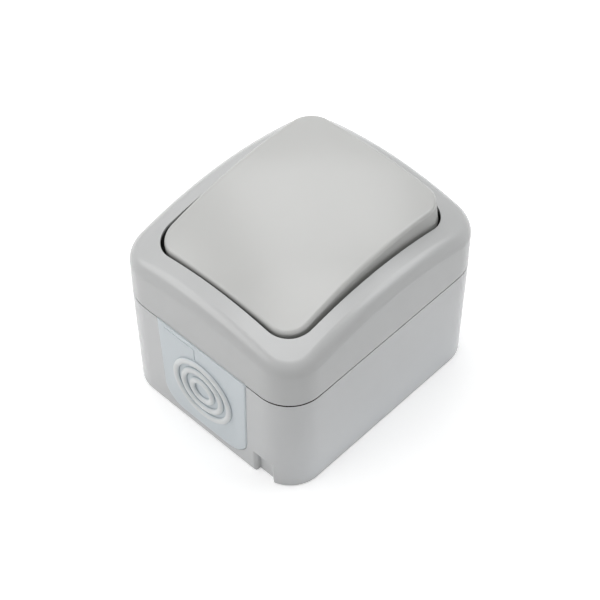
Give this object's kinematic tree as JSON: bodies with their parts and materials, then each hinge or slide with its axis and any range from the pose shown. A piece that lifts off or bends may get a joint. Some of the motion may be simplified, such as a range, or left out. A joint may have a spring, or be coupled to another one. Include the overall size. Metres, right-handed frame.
{
  "type": "outdoor weatherproof switch",
  "caption": "Surface-mounted weatherproof rocker switch with a crowned press plate, sealed cover, rubber cable membrane and screw terminals inside.",
  "frame": {"origin": "middle of the flat back face that lies on the wall", "axes": "+Z out of the wall, +X along the rocker's pivot, -Y towards the cable entry"},
  "size_m": [0.066, 0.0784, 0.0644],
  "materials": {
    "housing_grey": "fine satin texture",
    "rocker_grey": "fine satin texture",
    "membrane_rubber": "smooth pale rubber",
    "seal_rubber": "smooth dark rubber",
    "mechanism_plastic": "moulded thermoset",
    "slide_plastic": "natural low-friction plastic",
    "terminal_brass": "stamped",
    "screw_steel": "zinc plated",
    "contact_silver": "dull silver alloy"
  },
  "bodies": {
    "housing": {"back_box": "housing_grey", "cable_membrane": "membrane_rubber", "cover_gasket": "seal_rubber", "cover": "housing_grey", "cover_screws": "screw_steel", "cover_screw_seals": "seal_rubber", "neck_seal": "seal_rubber", "mech_frame": "mechanism_plastic", "mech_screws": "screw_steel", "mech_base": "mechanism_plastic", "common_terminal": "terminal_brass", "left_throw_terminal": "terminal_brass", "right_throw_terminal": "terminal_brass", "fixed_contacts": "contact_silver", "terminal_cages": "screw_steel", "terminal_clamps": "screw_steel", "terminal_screws": "screw_steel"},
    "press_rocker": {"rocker": "rocker_grey", "rocker_carrier": "slide_plastic", "plunger_spring": "screw_steel"},
    "spring_plunger": {"plunger": "slide_plastic"},
    "rocking_contact": {"contact_lever": "terminal_brass", "lever_contacts": "contact_silver"}
  },
  "joints": [
    {"name": "rocker_tilt", "type": "hinge", "parent": "housing", "child": "press_rocker", "pos_m": [0, 0, 0.0549], "axis": [1, 0, 0], "range_deg": [-12.52, 0]},
    {"name": "plunger_travel", "type": "slide", "parent": "press_rocker", "child": "spring_plunger", "axis": [0, -0.109, 0.994], "range_m": [0, 0.0008], "stiffness_N_per_m": 500, "deforming": ["plunger_spring"]},
    {"name": "contact_tip", "type": "hinge", "parent": "housing", "child": "rocking_contact", "pos_m": [0, 0, 0.0285], "axis": [1, 0, 0], "range_deg": [0, 10.02]}
  ],
  "couplings": [
    {"joint": "contact_tip", "follows": "rocker_tilt", "ratio": -0.8}
  ]
}
